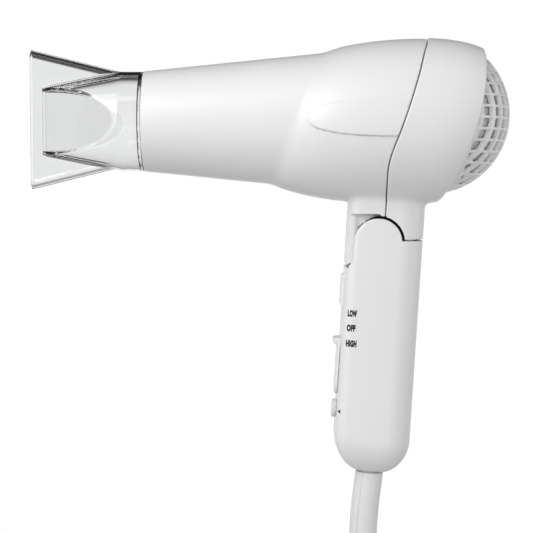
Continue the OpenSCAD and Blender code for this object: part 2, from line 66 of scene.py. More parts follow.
MM = 0.001
PIVOT_Z = 65.0
AXIS_Z = 121.2
TILT = math.radians(3.4)
WALL = 2.0
MOUTH_X = -109.0
GRIP_HW = 17.85
GRIP_HT = 15.5
FRONT_R = 5.0
REAR_R = 12.0
GRIP_LOW = -44.7
DOME_R = 36.9
DOME_BACK = 16.9
CHEEK_R = 11.1
TONGUE_R = 16.0
FIN_R = 17.6
TONGUE_HW = 11.0
FIN_HW = 12.0
SEAM = 0.22
RIM_TILT = math.radians(15.8)
RIM_X = 41.3
RIM_Z = -1.8
BARREL_R = 23.4
BARREL_SLOPE = 0.1
SPIGOT_R = 21.34
NOZZLE_X = -162.0
CONE_X = -155.9
CONE_R = 16.2
CONE_SLOPE = 7.0 / 36.5
COLLAR_R = 23.2
PANEL_HW = 5.7
PANEL_SLOPE = 0.489
KNOB_Z = -15.3
SLEEVE_LENGTH = 50.0

# ---------------------------------------------------------------- camera

VIEW_FROM = Vector((-0.049, -0.660, 0.095))
VIEW_TO = Vector((-0.0517, 0.0, 0.0530))
camera = bpy.data.objects.new("camera", bpy.data.cameras.new("camera"))
bpy.context.scene.collection.objects.link(camera)
bpy.context.scene.camera = camera
camera.location = VIEW_FROM
camera.rotation_euler = (VIEW_TO - VIEW_FROM).to_track_quat("-Z", "Y").to_euler()
camera.data.lens = 94.5
camera.data.sensor_width = 36
camera.data.clip_start = 0.01
camera.data.clip_end = 20

# ---------------------------------------------------------------- cord

CORD_R = 3.25
CORD_LENGTH = 1500.0
LEAD = [(-5.62, 0, -94.75), (-6, 0, -101), (-6, 0, -108)]
HANK_X = -6.0
HANK_TOP = -114.0
HANK_R = 20.5
STRAND_R = 4.62
TURNS = 4.5
PLUG_TOP = -278.05


def on_hank(turn, run, rise, side):
    """A point on the hank after so many turns, rise outside its middle line and side off its plane."""
    loop = 2 * run + 2 * math.pi * HANK_R
    at = (turn % 1.0) * loop
    quarter = math.pi * HANK_R / 2
    high = HANK_TOP - HANK_R - 2 * CORD_R - STRAND_R / 4
    reach = HANK_R + rise
    if at < quarter:
        angle = at / HANK_R
        middle = high
    elif at < quarter + run:
        return HANK_X + reach, side, high - (at - quarter)
    elif at < 3 * quarter + run:
        angle = (at - run) / HANK_R
        middle = high - run
    elif at < 3 * quarter + 2 * run:
        return HANK_X - reach, side, high - run + (at - 3 * quarter - run)
    else:
        angle = (at - 2 * run) / HANK_R
        middle = high
    return HANK_X + reach * math.sin(angle), side, middle + reach * math.cos(angle)


def strand(turn):
    """Where the cord lies across the bundle: four strands together, and the last half turn outside."""
    angle = turn * math.pi / 2
    rise, side = STRAND_R * math.cos(angle), STRAND_R * math.sin(angle)
    out = min(max((turn - 3.80) / 0.17, 0), 1)
    out = out * out * (3 - 2 * out)
    front = math.exp(-(((turn - 3.985) / 0.07) ** 2))
    last_rise = 10.4 - 1.4 * min(max((turn - 4.25) / 0.2, 0), 1)
    return rise + out * (last_rise - rise), side * (1 - out) - 6.9 * front


def cord_route(run):
    points = [Vector(p) for p in LEAD]
    steps = 60
    first, last = round(0.045 * steps), round((TURNS - 0.03) * steps)
    points += [Vector(on_hank(k / steps, run, *strand(k / steps))) for k in range(first, last + 1)]
    points += [Vector((HANK_X, 0, PLUG_TOP + d)) for d in (0, -5, -10)]
    return even(points, 3.0)


def even(points, step):
    """The same line with evenly spaced points, its corners eased."""
    p = np.array([list(v) for v in points])
    for _ in range(2):
        along = np.concatenate([[0], np.cumsum(np.linalg.norm(np.diff(p, axis=0), axis=1))])
        at = np.linspace(0, along[-1], round(along[-1] / step) + 1)
        p = np.stack([np.interp(at, along, p[:, i]) for i in range(3)], axis=1)
        for _ in range(5):
            p[1:-1] = 0.25 * p[:-2] + 0.5 * p[1:-1] + 0.25 * p[2:]
    return p


def route_length(p):
    return float(np.linalg.norm(np.diff(p, axis=0), axis=1).sum())


low, high = 60.0, 120.0
for _ in range(24):
    HANK_RUN = (low + high) / 2
    if route_length(cord_route(HANK_RUN)) < CORD_LENGTH:
        low = HANK_RUN
    else:
        high = HANK_RUN
route = cord_route(HANK_RUN) * MM
line = bpy.data.curves.new("cord", "CURVE")
line.dimensions = "3D"
path = line.splines.new("POLY")
path.points.add(len(route) - 1)
path.points.foreach_set("co", np.c_[route, np.ones(len(route))].astype(np.float32).ravel())
path.points.foreach_set("radius", np.full(len(route), CORD_R * MM, np.float32))
path.use_smooth = True
line.bevel_depth = 1.0
line.bevel_resolution = 5
line.use_fill_caps = True
cord = bpy.data.objects.new("cord", line)
bpy.context.scene.collection.objects.link(cord)
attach(cord, frame["nodes"]["cord_lead"]["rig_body"])
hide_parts("cord_lead", "cord_hank")

# ---------------------------------------------------------------- distance fields


def smin(a, b, k):
    """Smooth union of two distance fields, with a fillet of about k."""
    h = np.clip(0.5 + 0.5 * (b - a) / k, 0, 1)
    return b * (1 - h) + a * h - k * h * (1 - h)


def smax(a, b, k):
    """Smooth intersection of two distance fields, with an edge rounded by about k."""
    return -smin(-a, -b, k)


def round_max(a, b, r):
    """Intersection with an edge of exact radius r."""
    p, q = a + r, b + r
    outside = np.hypot(np.maximum(p, 0), np.maximum(q, 0))
    return np.minimum(np.maximum(p, q), 0) + outside - r


def spline(points, n=2400):
    """A smooth curve through given points, as a function of x."""
    px, py = (np.array(v, float) for v in zip(*points))
    slope = np.gradient(py, px)
    xs = np.linspace(px[0], px[-1], n)
    i = np.clip(np.searchsorted(px, xs) - 1, 0, len(px) - 2)
    h = px[i + 1] - px[i]
    t = (xs - px[i]) / h
    ys = (
        (2 * t**3 - 3 * t**2 + 1) * py[i]
        + (t**3 - 2 * t**2 + t) * h * slope[i]
        + (3 * t**2 - 2 * t**3) * py[i + 1]
        + (t**3 - t**2) * h * slope[i + 1]
    )
    return lambda x: np.interp(x, xs, ys)


def to_handle(x, z):
    """Coordinates along the handle's own axes."""
    return x * math.cos(TILT) - z * math.sin(TILT), x * math.sin(TILT) + z * math.cos(TILT)


def side_crown(xh):
    """The sides of the grip are slightly crowned."""
    return xh**2 / 340


def grip_section(xh, y, inset=0.0):
    """Rounded rectangle with small front corners and large rear ones."""
    r = np.where(xh > 0, REAR_R, FRONT_R) - inset
    qx = np.abs(xh) - (GRIP_HW - inset) + r
    qy = np.abs(y) + side_crown(xh) - (GRIP_HT - inset) + r
    outside = np.hypot(np.maximum(qx, 0), np.maximum(qy, 0))
    return np.minimum(np.maximum(qx, qy), 0) + outside - r


housing_r = spline([
    (-70, 12), (-50, 23.5), (-42, 28.2), (-35.8, 31.2), (-27, 34.1), (-14, 36.6), (1, 38.0),
    (17, 38.35), (27, 37.9), (35.7, 36.5), (40.7, 34.9), (50, 30), (70, 15),
])
housing_shear = spline([
    (-70, 0.36), (-40, 0.345), (-35.8, 0.32), (-27, 0.265), (-14, 0.235), (1, 0.22),
    (17, 0.20), (27, 0.20), (35.7, 0.235), (42, 0.28), (70, 0.285),
])
housing_drop = spline([
    (-70, 0.3), (-35.8, 0.2), (-14, 0.05), (10, 0), (27, -0.5), (35.7, -1.1), (41, -1.7), (70, -1.8),
])
seam_x = spline([
    (-45, 3.2), (12, 3.2), (19.7, 3.6), (27.7, 3.1), (34.8, 3.2), (39, 4), (47.9, 7.0),
    (55.9, 9.9), (67.1, 13.7), (76.9, 16.9), (86.2, 19.8), (93.5, 22.8), (104, 26.5),
])


def housing(x, y, za):
    """The housing: round sections in planes that lean back more towards the rim."""
    u = x - 0.24 * za
    for _ in range(3):
        u = x - housing_shear(u) * za
    return (np.hypot(y, za - housing_drop(u)) - housing_r(u)) * 0.95


def at_rim(x, y, za):
    """Distance behind the rear rim's plane, distance from its axis, and height along it."""
    behind = (x - RIM_X) * math.cos(RIM_TILT) - (za - RIM_Z) * math.sin(RIM_TILT)
    height = (x - RIM_X) * math.sin(RIM_TILT) + (za - RIM_Z) * math.cos(RIM_TILT)
    return behind, np.hypot(y, height), height


def rim_edge(behind, y):
    """Distance behind the rim's edge, which is set back at its top and bottom."""
    return behind + 2.2 - 3.4 * (y / 33) ** 2


def barrel(x, y, za):
    return (np.hypot(y, za) - BARREL_R - BARREL_SLOPE * (x - MOUTH_X)) * 0.995


def side_pad(x, zp):
    """Outline of the raised side pads, half an oval that runs out at the seam."""
    along = np.maximum(5.0 - x, 0) / 38.0
    half = 8.6 + 0.025 * x
    across = np.abs(zp - 56.95 - 0.015 * x) / half
    return ((along**2.5 + across**2.5) ** 0.4 - 1) * half * 0.8


def hinge_gap(x, zp):
    """The gap round the cheeks opens from the front over the top."""
    t = np.clip((math.radians(122) - np.arctan2(zp, x)) / math.radians(45), 0, 1)
    return 0.12 + 1.05 * t * t * (3 - 2 * t)


def neck(x, y, z):
    """Neck, fin and tongue."""
    xh, _ = to_handle(x, z)
    zp = z - PIVOT_Z
    away = np.hypot(x, zp)
    section = grip_section(xh, y)
    full = smax(section, 1.1 - zp, 0.8)
    gap = hinge_gap(x, zp)
    full = smax(full, CHEEK_R + gap - away, 0.35)
    full = smax(full, -np.maximum(x - 1.0, zp - 13.0), 0.6)
    seam = 0.616 * x - 0.788 * zp + 0.25
    fin = smax(np.maximum(section, np.abs(y) - FIN_HW), x + 10.7, 0.8)
    fin = np.maximum(fin, np.where(zp > 5, -1.0, smax(away - FIN_R - 0.2, seam, 0.4)))
    floor = FIN_HW - 0.5 * np.clip(x + 10.7, 0, 6)
    tongue = np.maximum(section, np.abs(y) - np.where(x < 1, np.maximum(floor, TONGUE_HW), TONGUE_HW))
    tongue = np.maximum(tongue, np.where(zp > 9, -1.0, away - TONGUE_R))
    groove = np.maximum(np.maximum(away - CHEEK_R - gap, CHEEK_R - 0.6 - away), 1.2 - np.abs(y))
    groove = np.maximum(groove, 3.0 - x - 1.9 * zp)
    lower = np.maximum(np.minimum(fin, tongue), -groove)
    return np.maximum(np.minimum(full, lower), zp - 30)


def head_solid(x, y, z, grow, pad_rise):
    za = z - AXIS_Z
    round_body = housing(x, y, za)
    body = smax(round_body - grow, rim_edge(at_rim(x, y, za)[0], y), 0.8)
    body = smin(body, np.maximum(barrel(x, y, za), x + 10), 0.9)
    if pad_rise:
        up = np.clip((z - PIVOT_Z - 51) / 9, 0, 1)
        pad = smax(round_body - pad_rise * (1 - 0.4 * up), side_pad(x, z - PIVOT_Z), 0.5 + 0.5 * up)
        body = smin(body, pad, 0.15 + 0.4 * up)
    return smin(body, neck(x, y, z), 2.4)


def head_cavity(x, y, z):
    """The hollow inside the head's shells: negative inside."""
    za = z - AXIS_Z
    inside = np.minimum(
        np.maximum(housing(x, y, za) + WALL, x - 60),
        np.maximum(barrel(x, y, za) + WALL, x + 10),
    )
    behind, across, _ = at_rim(x, y, za)
    opening = np.maximum(across - 33.0, np.abs(behind) - 6)
    throat = np.maximum(np.hypot(y, za) - 21.4, np.abs(x - MOUTH_X) - 12)
    bulk = np.maximum(inside, behind + 4)
    return np.minimum(np.minimum(bulk, opening), throat)


def front_shell(x, y, z):
    skin = smax(head_solid(x, y, z, 0.0, 0.9), MOUTH_X - x, 0.35)
    shell = smax(skin, -head_cavity(x, y, z), 0.5)
    zp = z - PIVOT_Z
    ahead = (x - seam_x(zp) + SEAM) * 0.95
    in_tongue = np.maximum(np.abs(y) - TONGUE_HW, np.hypot(x, zp) - FIN_R - 0.2)
    shell = smax(shell, np.minimum(ahead, in_tongue), 0.5)
    pin = 3.08 - np.hypot(x, zp)
    return np.maximum(shell, pin)


def rear_shell(x, y, z):
    shell = smax(head_solid(x, y, z, 0.4, 0.0), -head_cavity(x, y, z), 0.6)
    zp = z - PIVOT_Z
    behind = -(x - seam_x(zp) - SEAM) * 0.95
    shell = smax(shell, behind, 0.5)
    in_tongue = np.maximum(np.abs(y) - TONGUE_HW - 0.1, np.hypot(x, zp) - FIN_R - 0.6)
    shell = np.maximum(shell, -in_tongue)
    across = np.hypot(y, zp - 9)
    screw = np.minimum(across - 1.5, np.maximum(across - 2.9, 19 - x))
    return smax(shell, -np.maximum(screw, -x), 0.3)


def rear_grille(x, y, z):
    """Domed grille: rows and columns of square openings with rounded corners, in a plain border."""
    za = z - AXIS_Z
    behind, across, height = at_rim(x, y, za)
    away = np.hypot(across, behind + DOME_BACK)
    edge = rim_edge(behind, y)
    dome = np.maximum(np.maximum(away - DOME_R, DOME_R - 1.7 - away), -edge)
    dome = np.maximum(dome, across - 32.7)
    ring = np.maximum(np.maximum(across - 32.7, 30.9 - across), np.abs(edge + 1.9) - 2.1)
    body = np.minimum(dome, ring)
    pitch, half, corner = 5.13, 1.93, 0.9
    dz = np.abs(za + 1.5 - np.round((za + 1.5) / pitch) * pitch)
    dy = np.abs(y - (np.floor(y / pitch) + 0.5) * pitch)
    square = np.hypot(np.maximum(dy - half + corner, 0), np.maximum(dz - half + corner, 0)) - corner
    slot = np.maximum(square, np.maximum(dy, dz) - half)
    slot = smax(slot, np.hypot(y, height - 0.9) - 31.7, 0.5)
    slot = np.maximum(slot, 0.3 - edge)
    return smax(body, -slot, 0.5)


def lint_filter(x, y, z):
    """Fine screen just inside the grille."""
    behind, across, _ = at_rim(x, y, z - AXIS_Z)
    away = np.hypot(across, behind + DOME_BACK)
    return smax(smax(away - DOME_R + 2.3, DOME_R - 3.0 - away, 0.2), -2.5 - behind, 0.2)


def hinge_gap_painted_shadow(x, y, z):
    """Black strips in the gap between the neck and the cheeks: a dark sheet that paints the gap's
    shadow.
    """
    zp = z - PIVOT_Z
    away = np.hypot(x, zp)
    inner = CHEEK_R + np.where(x < -1.5, 0.28, 0.06)
    strip = np.maximum(inner - away, away - CHEEK_R - hinge_gap(x, zp) + 0.03)
    strip = np.maximum(strip, np.abs(np.abs(y) - 13.2) - 1.75)
    strip = np.maximum(strip, 1.25 - zp)
    return np.maximum(strip, -2.4 - x)


def nozzle_form(x, y, z, inset):
    """Cone with two pressed-in flat panels, and the flat fan around it."""
    za = z - AXIS_Z
    along = x - CONE_X
    cone = (np.hypot(y, za) - np.minimum(CONE_R + CONE_SLOPE * along, COLLAR_R) + inset) * 0.98
    panel = (np.abs(y) - PANEL_HW - PANEL_SLOPE * along + inset) * 0.9
    cone = smax(cone, panel, 0.45)
    cone = smax(cone, -along, 0.4)
    edge = 21.5 + (-117.4 - x) * 0.2466
    flat = np.hypot(np.maximum(np.abs(za - 0.8) - edge + 5.0, 0) * 0.97, y) - 5.0 + inset
    flat = np.maximum(flat, x + 117)
    return cone, flat


def nozzle(x, y, z):
    r = np.hypot(y, z - AXIS_Z)
    cone, flat = nozzle_form(x, y, z, 0.0)
    body = np.maximum(smin(cone, flat, 0.8), x + 109.05)
    body = smax(body, NOZZLE_X - x, 0.6)
    spigot = np.maximum(r - SPIGOT_R, np.abs(x + 105.5) - 5.5)
    outer = np.minimum(body, spigot)
    cone_in, flat_in = nozzle_form(x, y, z, 1.5)
    hollow = np.maximum(smin(cone_in, flat_in, 0.8), x + 110.6)
    hollow = np.minimum(hollow, np.maximum(r - 19.7, np.abs(x + 105) - 9))
    return smax(outer, -hollow, 0.4)


def handle(x, y, z):
    xh, zh = to_handle(x, z)
    zp = z - PIVOT_Z
    section = grip_section(xh, y)
    foot = GRIP_LOW + (xh - 1.5) ** 2 / 75 + y**2 / 60 - zh
    skin = round_max(section, foot, 12.0)
    cheek = np.hypot(x, zp) - CHEEK_R
    seam = 0.616 * x - 0.788 * zp
    left = -11.2 + 0.07 * zp - x
    outline = np.minimum(cheek, np.maximum(zp - 0.6, np.minimum(left, -seam)))
    skin = smax(skin, outline, np.where(x < -6, 0.5 + np.clip((zp + 8) / 6, 0, 1), 0.7))
    guard = round_max(np.abs(xh + 17.4) - 1.85, np.abs(y) - 6.0, 0.9)
    slope = np.maximum(zh - 49.2 - (xh + GRIP_HW) * 0.9, 32.9 - zh - (xh + GRIP_HW) * 0.9)
    guard = smax(guard, slope, 0.6)
    skin = smin(skin, guard, 0.5)
    inner = round_max(grip_section(xh, y, WALL), foot + WALL, 10.0)
    fin_slot = np.maximum(np.maximum(np.hypot(x, zp) - FIN_R - 0.7, np.abs(y) - FIN_HW - 0.3), x)
    boss = np.maximum(np.hypot(x, zp) - 10.2, 12.0 - np.abs(y))
    hollow = np.maximum(np.minimum(inner, fin_slot), -boss)
    shell = smax(skin, -hollow, 0.5)
    slider_slot = np.maximum(np.abs(y) - 3.1, np.abs(zh - 19.0) - 10.2)
    slider_slot = np.maximum(slider_slot, xh + 12)
    knob_hole = np.maximum(np.hypot(y, zh - KNOB_Z) - 3.0, xh + 12)
    cord_hole = np.maximum(np.hypot(xh, y) - 5.0, zh + 40)
    cuts = np.minimum(np.minimum(slider_slot, knob_hole), cord_hole)
    return smax(shell, -cuts, 0.4)


def left_shell(x, y, z):
    return smax(handle(x, y, z), y + 0.12, 0.35)


def right_shell(x, y, z):
    shell = smax(handle(x, y, z), 0.12 - y, 0.35)
    xh, zh = to_handle(x, z)
    for at in (-32.0, 31.0):
        across = np.hypot(xh - 6.5, zh - at)
        shell = smax(shell, -np.maximum(across - 2.9, 13.2 - y), 0.3)
    return shell


def slide_button(x, y, z):
    xh, zh = to_handle(x, z)
    face = -GRIP_HW - 0.15
    out = face - xh
    low = np.hypot(y, np.minimum(zh + 2.5, 0)) - 6.0
    plate = smax(np.maximum(low, np.abs(y) - 6.0), zh - 18.5, 0.5)
    bevel = np.hypot(y, np.minimum(zh + 2.5, 0)) - 6.6 + np.maximum(out, 0) * 0.9
    plate = smax(smax(plate, out - 1.4, 0.8), bevel, 0.3)
    plate = np.maximum(plate, -out)
    ridge = smax(np.abs(y) - 6.0, out - 3.4 + ((zh - 17.0) / 3.0) ** 2 * 0.5, 0.9)
    ridge = smax(ridge, zh - 18.5, 0.8)
    ridge = smax(ridge, 14.9 - zh + out * 0.35, 0.8)
    ridge = np.maximum(ridge, -out)
    stem = np.maximum(np.maximum(np.abs(y) - 2.9, np.abs(zh - 12.0) - 3.0), np.abs(xh + 17.0) - 1.3)
    return np.minimum(smin(plate, ridge, 0.8), stem)


def voltage_knob(x, y, z):
    xh, zh = to_handle(x, z)
    r = np.hypot(y, zh - KNOB_Z)
    out = -GRIP_HW - 0.1 - xh
    head = smax(smax(r - 4.35, out - 1.9, 0.7), -out, 0.2)
    stem = np.maximum(r - 2.9, np.abs(out + 2.4) - 2.5)
    slot = np.maximum(np.maximum(np.abs(y) - 0.6, np.abs(zh - KNOB_Z) - 3.4), 1.0 - out)
    return smax(np.minimum(head, stem), -slot, 0.3)


def strain_relief(x, y, z):
    xh, zh = to_handle(x, z)
    down = GRIP_LOW - zh
    xh = xh + 1.2 * np.sin(np.pi * np.clip(down / SLEEVE_LENGTH, 0, 1))
    r = np.hypot(xh, y)
    radius = np.interp(down, [-4, 0, 30, SLEEVE_LENGTH, 60], [6.65, 6.65, 6.6, 4.4, 4.2])
    groove = 0.5 * np.exp(-(((xh + 3.1) / 0.35) ** 2))
    flank = np.clip((np.abs(y) - 2.0) / 2.0, 0, 1)
    sleeve = (r - radius + groove * flank) * 0.98
    sleeve = smax(sleeve, np.abs(down - SLEEVE_LENGTH / 2) - SLEEVE_LENGTH / 2, 0.8)
    neck_part = np.maximum(r - 4.8, np.abs(down + 1.0) - 2.0)
    flange = np.maximum(r - 7.5, np.abs(zh + 40.8) - 1.1)
    return np.minimum(np.minimum(sleeve, neck_part), flange)


# ---------------------------------------------------------------- meshing


def new_mesh(name, points, faces):
    """A mesh object from points in metres and rows of 3 or 4 corner numbers."""
    mesh = bpy.data.meshes.new(name)
    mesh.vertices.add(len(points))
    mesh.vertices.foreach_set("co", points.astype(np.float32).ravel())
    size = faces.shape[1]
    mesh.loops.add(faces.size)
    mesh.loops.foreach_set("vertex_index", faces.astype(np.int32).ravel())
    mesh.polygons.add(len(faces))
    mesh.polygons.foreach_set("loop_start", np.arange(0, faces.size, size, dtype=np.int32))
    mesh.update(calc_edges=True)
    mesh.validate()
    mesh.polygons.foreach_set("use_smooth", np.ones(len(mesh.polygons), bool))
    obj = bpy.data.objects.new(name, mesh)
    bpy.context.scene.collection.objects.link(obj)
    return obj


def gradient(field, p, e=0.04):
    """Unit normals of a field at points, and its slope there."""
    g = np.stack([
        field(p[:, 0] + e, p[:, 1], p[:, 2]) - field(p[:, 0] - e, p[:, 1], p[:, 2]),
        field(p[:, 0], p[:, 1] + e, p[:, 2]) - field(p[:, 0], p[:, 1] - e, p[:, 2]),
        field(p[:, 0], p[:, 1], p[:, 2] + e) - field(p[:, 0], p[:, 1], p[:, 2] - e),
    ], axis=1) / (2 * e)
    slope = np.linalg.norm(g, axis=1)
    return g / np.maximum(slope, 1e-6)[:, None], slope


def solid(name, field, node, cell, margin=1.6):
    """Meshes a field where a CAD node stands."""
    low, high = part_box(node)
    return solid_in(name, field, np.array(low) / MM - margin, np.array(high) / MM + margin, cell)


def solid_in(name, field, low, high, cell):
    """Meshes a field inside a box, and puts its points exactly on the surface."""
    low, high = np.array(low, float), np.array(high, float)
    counts = np.ceil((high - low) / cell).astype(int) + 1
    xs, ys, zs = (low[i] + cell * np.arange(counts[i]) for i in range(3))
    values = np.empty(counts, np.float32)
    for k in range(0, counts[0], 24):
        block = xs[k:k + 24]
        values[k:k + 24] = field(block[:, None, None], ys[None, :, None], zs[None, None, :])
    grid = openvdb.FloatGrid(float(values.max()))
    grid.copyFromArray(values)
    points, quads = grid.convertToQuads(isovalue=0.0)
    p = low + points.astype(float) * cell
    for _ in range(4):
        normal, slope = gradient(field, p)
        move = field(p[:, 0], p[:, 1], p[:, 2]) / np.maximum(slope, 0.5)
        p -= normal * np.clip(move, -0.35 * cell, 0.35 * cell)[:, None]
    normal, _ = gradient(field, p)
    a, b, c = (p[quads[:, i]] for i in range(3))
    facing = np.einsum("ij,ij->i", np.cross(b - a, c - a), normal[quads[:, 0]])
    if np.median(facing) < 0:
        quads = quads[:, ::-1]
    obj = new_mesh(name, p * MM, quads)
    obj.data.normals_split_custom_set_from_vertices(normal.tolist())
    return obj


def show(obj, node):
    """obj stands in for a CAD node: it rides on the node's body, and the node is hidden."""
    beside(obj, node)
    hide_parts(node)


def beside(obj, node):
    """obj belongs to a CAD node that keeps a piece of its own."""
    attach(obj, frame["nodes"][node]["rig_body"])


# ---------------------------------------------------------------- materials


def nodes_of(name):
    """A new material, its node tree and its shader."""
    mat = bpy.data.materials.new(name)
    mat.use_nodes = True
    tree = mat.node_tree
    shader = tree.nodes["Principled BSDF"]
    return mat, tree, shader


def object_noise(tree, scale, detail=3.0):
    """A noise fixed to the object."""
    place = tree.nodes.new("ShaderNodeTexCoord")
    noise = tree.nodes.new("ShaderNodeTexNoise")
    noise.inputs["Scale"].default_value = scale
    noise.inputs["Detail"].default_value = detail
    tree.links.new(place.outputs["Object"], noise.inputs["Vector"])
    return noise


def ramp(tree, source, socket, low, high):
    """Maps a noise onto a socket between two values or colours."""
    made = tree.nodes.new("ShaderNodeValToRGB")
    made.color_ramp.elements[0].position = 0.3
    made.color_ramp.elements[1].position = 0.7
    for element, value in zip(made.color_ramp.elements, (low, high)):
        element.color = (*value, 1) if hasattr(value, "__len__") else (value, value, value, 1)
    tree.links.new(source.outputs["Fac"], made.inputs["Fac"])
    tree.links.new(made.outputs["Color"], socket)
    return made


def bump(tree, shader, source, distance, strength=0.3):
    """A fine relief from a noise."""
    made = tree.nodes.new("ShaderNodeBump")
    made.inputs["Distance"].default_value = distance
    made.inputs["Strength"].default_value = strength
    tree.links.new(source.outputs["Fac"], made.inputs["Height"])
    tree.links.new(made.outputs["Normal"], shader.inputs["Normal"])


def plastic(name, colour, rough, grain=900.0, depth=0.00002, spread=0.03, specular=0.5):
    mat, tree, shader = nodes_of(name)
    shader.inputs["Specular IOR Level"].default_value = specular
    noise = object_noise(tree, grain)
    broad = object_noise(tree, 14.0)
    lighter = tuple(min(1.0, c * 1.012 + 0.002) for c in colour)
    darker = tuple(c * 0.985 for c in colour)
    ramp(tree, broad, shader.inputs["Base Color"], darker, lighter)
    ramp(tree, noise, shader.inputs["Roughness"], rough - spread, rough + spread)
    bump(tree, shader, noise, depth)
    return mat


def metal(name, colour, rough):
    mat, tree, shader = nodes_of(name)
    shader.inputs["Metallic"].default_value = 1.0
    noise = object_noise(tree, 400.0)
    ramp(tree, noise, shader.inputs["Base Color"], tuple(c * 0.94 for c in colour), colour)
    ramp(tree, noise, shader.inputs["Roughness"], rough - 0.05, rough + 0.08)
    return mat


def clear(name):
    """Clear plastic, greyer in the D-shaped pressed panels, with a painted highlight line round them.
    """
    mat, tree, shader = nodes_of(name)
    shader.inputs["Transmission Weight"].default_value = 1.0
    shader.inputs["IOR"].default_value = 1.49

    def math_node(operation, a, b):
        """One arithmetic step of the panel's outline."""
        made = tree.nodes.new("ShaderNodeMath")
        made.operation = operation
        for k, value in enumerate((a, b)):
            if isinstance(value, float):
                made.inputs[k].default_value = value
            else:
                tree.links.new(value, made.inputs[k])
        return made.outputs["Value"]

    place = tree.nodes.new("ShaderNodeTexCoord")
    split = tree.nodes.new("ShaderNodeSeparateXYZ")
    tree.links.new(place.outputs["Object"], split.inputs["Vector"])
    along = math_node("MULTIPLY_ADD", split.outputs["X"], 1 / MM)
    along.node.inputs[2].default_value = -CONE_X
    height = math_node("MULTIPLY_ADD", split.outputs["Z"], 1 / MM)
    height.node.inputs[2].default_value = -AXIS_Z
    cone = math_node("MULTIPLY_ADD", along, CONE_SLOPE)
    cone.node.inputs[2].default_value = CONE_R
    flat = math_node("MULTIPLY_ADD", along, PANEL_SLOPE)
    flat.node.inputs[2].default_value = PANEL_HW
    inside = math_node("MULTIPLY", cone, cone)
    inside = math_node("SUBTRACT", inside, math_node("MULTIPLY", height, height))
    inside = math_node("SUBTRACT", inside, math_node("MULTIPLY", flat, flat))
    inside = math_node("MULTIPLY_ADD", inside, 0.002)
    inside.node.inputs[2].default_value = 0.5
    in_front = math_node("GREATER_THAN", along, 0.3)
    tone = tree.nodes.new("ShaderNodeValToRGB")
    # Painted highlight: the peak of 1.0 at 0.5 makes a bright line along the panels' edge; inside the
    # panels the tint is darker.
    tint_with_painted_highlight = [(0.0, 0.9), (0.46, 0.92), (0.5, 1.0), (0.54, 0.87), (1.0, 0.87)]
    for position, value in tint_with_painted_highlight[1:-1]:
        tone.color_ramp.elements.new(position)
    for element, (position, value) in zip(tone.color_ramp.elements, tint_with_painted_highlight):
        element.position = position
        element.color = (value, value * 1.004, value * 1.006, 1)
    tree.links.new(math_node("MULTIPLY", inside, in_front), tone.inputs["Fac"])
    tree.links.new(tone.outputs["Color"], shader.inputs["Base Color"])
    noise = object_noise(tree, 60.0)
    ramp(tree, noise, shader.inputs["Roughness"], 0.02, 0.05)
    return mat


def woven(name, colour):
    """A fine screen: a grid of threads, in tone."""
    mat, tree, shader = nodes_of(name)
    place = tree.nodes.new("ShaderNodeTexCoord")
    waves = []
    for direction in ("Y", "Z"):
        wave = tree.nodes.new("ShaderNodeTexWave")
        wave.bands_direction = direction
        wave.inputs["Scale"].default_value = 260.0
        tree.links.new(place.outputs["Object"], wave.inputs["Vector"])
        waves.append(wave)
    both = tree.nodes.new("ShaderNodeMath")
    both.operation = "MULTIPLY"
    for k, wave in enumerate(waves):
        tree.links.new(wave.outputs["Fac"], both.inputs[k])
    tone = tree.nodes.new("ShaderNodeValToRGB")
    tone.color_ramp.elements[0].color = (*(c * 0.72 for c in colour), 1)
    tone.color_ramp.elements[1].color = (*colour, 1)
    tree.links.new(both.outputs["Value"], tone.inputs["Fac"])
    tree.links.new(tone.outputs["Color"], shader.inputs["Base Color"])
    shader.inputs["Roughness"].default_value = 0.6
    return mat


white = plastic("white_plastic", (0.80, 0.80, 0.795), 0.32)
inner_white = plastic("inner_white", (0.70, 0.70, 0.69), 0.45)
cord_white = plastic("cord_white", (0.76, 0.76, 0.755), 0.38, grain=500.0)
black = plastic("black_plastic", (0.02, 0.02, 0.022), 0.4)
ink = plastic("ink", (0.004, 0.004, 0.004), 0.6)
red = plastic("red_plastic", (0.5, 0.03, 0.02), 0.4)
board = plastic("board", (0.05, 0.2, 0.09), 0.35)
mica = plastic("mica", (0.52, 0.42, 0.26), 0.35, grain=240.0, spread=0.1)
rubber = plastic("rubber", (0.03, 0.03, 0.03), 0.7)
# Near-black material for the hinge-gap strips: painted shadow.
shadow_gap = plastic("painted_shadow_black", (0.003, 0.003, 0.003), 0.9, specular=0.05)
fuse_tan = plastic("fuse_tan", (0.45, 0.36, 0.24), 0.5)
strap = plastic("strap", (0.02, 0.02, 0.022), 0.85, grain=1500.0, depth=0.0002)
wire_red = plastic("wire_red", (0.4, 0.02, 0.02), 0.45)
steel = metal("steel", (0.62, 0.62, 0.64), 0.28)
nichrome = metal("nichrome", (0.42, 0.38, 0.34), 0.35)
brass = metal("brass", (0.78, 0.62, 0.32), 0.25)
glass = clear("clear_plastic")
mesh_white = woven("filter_mesh", (0.78, 0.78, 0.77))


def paint(obj, mat):
    obj.data.materials.clear()
    obj.data.materials.append(mat)


